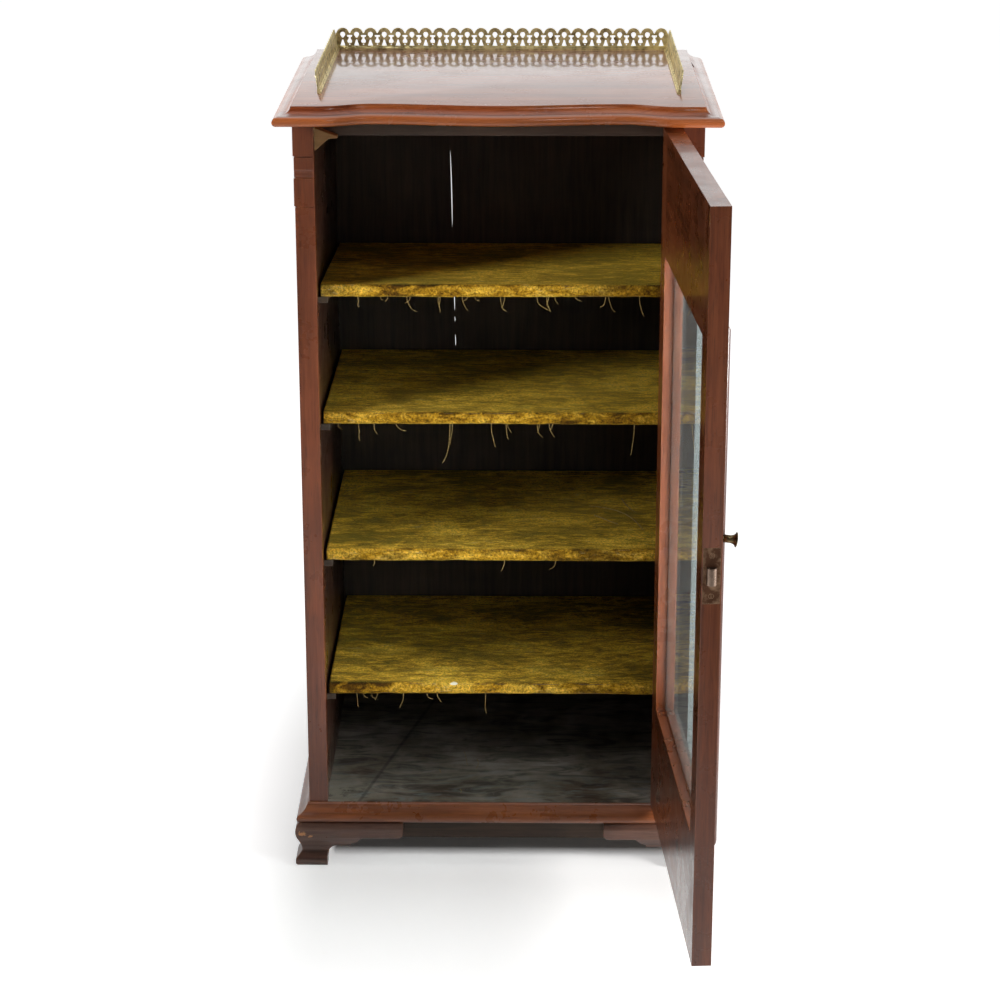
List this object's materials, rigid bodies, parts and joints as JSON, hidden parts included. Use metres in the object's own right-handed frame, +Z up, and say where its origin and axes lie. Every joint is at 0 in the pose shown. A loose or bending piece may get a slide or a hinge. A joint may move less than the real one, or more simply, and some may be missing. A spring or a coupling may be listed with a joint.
{
  "type": "music roll cabinet",
  "caption": "Small wooden cabinet on bracket feet with a moulded top, a pierced brass gallery, sloping cloth covered shelves and one glazed door with a spring catch.",
  "frame": {"origin": "on the room floor, at the middle of the width, in the vertical plane of the faces of the front feet", "axes": "+X to the cabinet's right seen from the front, +Y to its back, +Z up"},
  "size_m": [0.5242, 0.8387, 1.004],
  "materials": {
    "mahogany_top": "french polished, glossy",
    "mahogany": "french polished, glossy",
    "inner_wood": "dark stained, dull",
    "raw_wood": "unpolished",
    "velvet": "crushed pile",
    "glass": "clear float",
    "gallery_brass": "aged cast brass",
    "dull_brass": "tarnished rolled brass",
    "steel": "dull drawn wire"
  },
  "bodies": {
    "cabinet": {"top_board": "mahogany_top", "top_back_board": "mahogany_top", "gallery_back": "gallery_brass", "gallery_left": "gallery_brass", "gallery_right": "gallery_brass", "gallery_pins": "gallery_brass", "side_left": "mahogany", "side_right": "mahogany", "front_strip_left": "mahogany", "front_strip_right": "mahogany", "bottom_board": "inner_wood", "top_rail": "inner_wood", "corner_block": "raw_wood", "back_board_left": "inner_wood", "back_board_middle": "inner_wood", "back_board_right": "inner_wood", "back_nails": "steel", "plinth_rail": "inner_wood", "base_moulding_front": "mahogany", "base_moulding_left": "mahogany", "base_moulding_right": "mahogany", "foot_front_left": "mahogany", "foot_front_left_return": "mahogany", "foot_front_right": "mahogany", "foot_front_right_return": "mahogany", "foot_back_left_return": "mahogany", "foot_back_right_return": "mahogany", "foot_back_brackets": "inner_wood", "foot_blocks": "raw_wood", "shelf_1": "inner_wood", "shelf_2": "inner_wood", "shelf_3": "inner_wood", "shelf_4": "inner_wood", "shelf_cloth_1": "velvet", "shelf_cloth_2": "velvet", "shelf_cloth_3": "velvet", "shelf_cloth_4": "velvet", "shelf_bearers_left": "inner_wood", "shelf_bearers_right": "inner_wood", "hinge_leaves_case": "gallery_brass", "hinge_pins": "steel", "case_screws": "dull_brass", "strike_plate": "dull_brass"},
    "door": {"door_stile_hinge": "mahogany", "door_stile_lock": "mahogany", "door_rail_top": "mahogany", "door_rail_bottom": "mahogany", "door_glass": "glass", "door_moulding_top": "mahogany", "door_moulding_bottom": "mahogany", "door_moulding_hinge": "mahogany", "door_moulding_lock": "mahogany", "hinge_leaves_door": "gallery_brass", "door_screws": "dull_brass", "latch_case": "dull_brass", "latch_plate": "dull_brass", "latch_spring": "steel", "knob": "dull_brass", "knob_rose": "dull_brass"},
    "latch_bolt": {"latch_bolt": "dull_brass"}
  },
  "joints": [
    {"name": "door_hinge", "type": "hinge", "parent": "cabinet", "child": "door", "pos_m": [0.2166, 0.0164, 0.5], "axis": [0, 0, 1], "range_deg": [-93.7, 76.3]},
    {"name": "bolt_slide", "type": "slide", "parent": "door", "child": "latch_bolt", "axis": [-0.0645, 0.9979, 0], "range_m": [0, 0.0063], "stiffness_N_per_m": 600, "springref_m": -0.004, "deforming": ["latch_spring"]}
  ]
}
